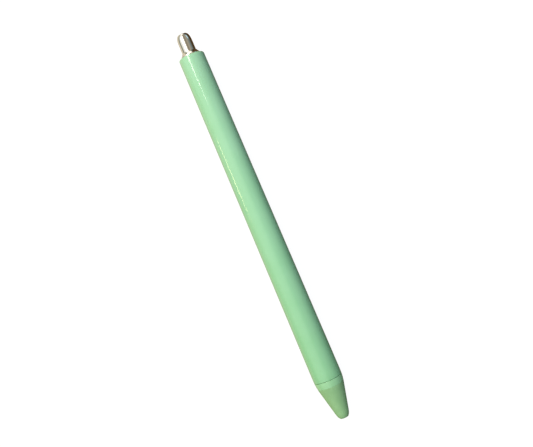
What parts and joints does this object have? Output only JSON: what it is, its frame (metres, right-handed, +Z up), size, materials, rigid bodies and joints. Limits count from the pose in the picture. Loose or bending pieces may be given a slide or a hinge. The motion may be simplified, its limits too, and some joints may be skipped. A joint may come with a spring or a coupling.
{
  "type": "gel pen",
  "caption": "Retractable gel pen without a clip: glossy tapered barrel, light ring, matte screw-off nose cone, chrome push button in a flared collar, with cam and refill inside.",
  "frame": {"origin": "on the surface that the pen lies on, under the middle of its length", "axes": "+X along the pen towards the nose, +Z up, +Y to the left of +X"},
  "size_m": [0.143, 0.0102, 0.0102],
  "materials": {
    "barrel_plastic": "glossy mint",
    "ring_plastic": "satin light mint",
    "cone_plastic": "matte olive mint",
    "chrome": "polished chrome",
    "steel": "bright steel",
    "carbide": "ground carbide",
    "white_plastic": "moulded white",
    "grey_plastic": "moulded grey",
    "clear_plastic": "clear polypropylene",
    "ink": "wet black gel",
    "grease": "clear amber grease"
  },
  "bodies": {
    "body": {"barrel": "barrel_plastic", "top_collar": "chrome", "cam_sleeve": "grey_plastic", "return_spring": "steel"},
    "button": {"push_button": "chrome", "thrust_cam": "white_plastic"},
    "rotor": {"cam_rotor": "white_plastic"},
    "refill": {"refill_tube": "clear_plastic", "tail_plug": "white_plastic", "ink_column": "ink", "ink_follower": "grease", "tip_holder": "clear_plastic", "tip_shell": "steel"},
    "ball": {"writing_ball": "carbide"},
    "ring": {"nose_ring": "ring_plastic"},
    "nose": {"nose_cone": "cone_plastic"}
  },
  "joints": [
    {"name": "refill_slide", "type": "slide", "parent": "body", "child": "refill", "axis": [1, 0, 0], "range_m": [0, 0.0054], "stiffness_N_per_m": 180, "springref_m": -0.0045, "deforming": ["return_spring"]},
    {"name": "button_press", "type": "slide", "parent": "body", "child": "button", "axis": [1, 0, 0], "range_m": [0, 0.0054]},
    {"name": "rotor_slide", "type": "slide", "parent": "body", "child": "rotor", "axis": [1, 0, 0], "range_m": [0, 0.0054]},
    {"name": "ball_roll", "type": "hinge", "parent": "refill", "child": "ball", "pos_m": [0.06945, 0, 0.00511], "axis": [0, 1, 0], "continuous": true},
    {"name": "nose_travel", "type": "slide", "parent": "body", "child": "ring", "axis": [1, 0, 0], "range_m": [0, 0.0065]},
    {"name": "nose_unscrew", "type": "hinge", "parent": "ring", "child": "nose", "pos_m": [0.05, 0, 0.00511], "axis": [1, 0, 0], "range_deg": [0, 2340]}
  ],
  "couplings": [
    {"joint": "button_press", "follows": "refill_slide", "ratio": 1},
    {"joint": "rotor_slide", "follows": "refill_slide", "ratio": 1},
    {"joint": "nose_unscrew", "follows": "nose_travel", "rad_per_m": 6283}
  ]
}
